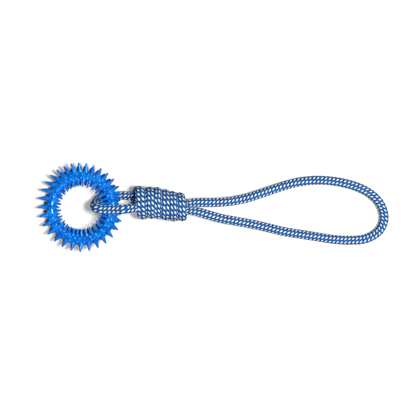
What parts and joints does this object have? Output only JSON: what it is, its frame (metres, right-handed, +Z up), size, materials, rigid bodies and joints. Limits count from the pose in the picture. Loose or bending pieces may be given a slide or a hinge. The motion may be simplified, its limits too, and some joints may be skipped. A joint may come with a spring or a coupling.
{
  "type": "dog tug toy",
  "caption": "Dog tug toy: a soft spiked chew ring threaded on the short end loop of a braided rope, with a wound knot and a long rope handle loop.",
  "frame": {"origin": "on the ground under the middle of the toy's bounding box, as the toy lies flat", "axes": "+X from the ring along the toy to the far end of the rope handle, +Z up from the ground"},
  "size_m": [0.3556, 0.0884, 0.0359],
  "materials": {
    "ring_rubber": "glossy, slightly translucent blue thermoplastic rubber",
    "braided_rope": "matt braided polypropylene rope, blue with white flecks"
  },
  "bodies": {
    "knot": {"knot_winding": "braided_rope", "core_strand_over": "braided_rope", "core_strand_under": "braided_rope"},
    "bight": {"ring_bight": "braided_rope"},
    "ring": {"spiked_ring": "ring_rubber"},
    "handle": {"handle_loop": "braided_rope"}
  },
  "joints": [
    {"name": "ring_swing", "type": "hinge", "parent": "knot", "child": "bight", "pos_m": [-0.07939, 0.00472, 0.0163], "axis": [0.0863, 0.9963, 0], "range_deg": [-45, 45], "deforming": ["ring_bight"]},
    {"name": "ring_spin", "type": "hinge", "parent": "bight", "child": "ring", "pos_m": [-0.1336, 0, 0.01371], "axis": [-0.1736, 0, 0.9848], "continuous": true},
    {"name": "handle_flex", "type": "hinge", "parent": "knot", "child": "handle", "pos_m": [-0.02736, 0.00021, 0.0135], "axis": [-0.0863, -0.9963, 0], "range_deg": [-60, 60], "deforming": ["handle_loop"]}
  ]
}
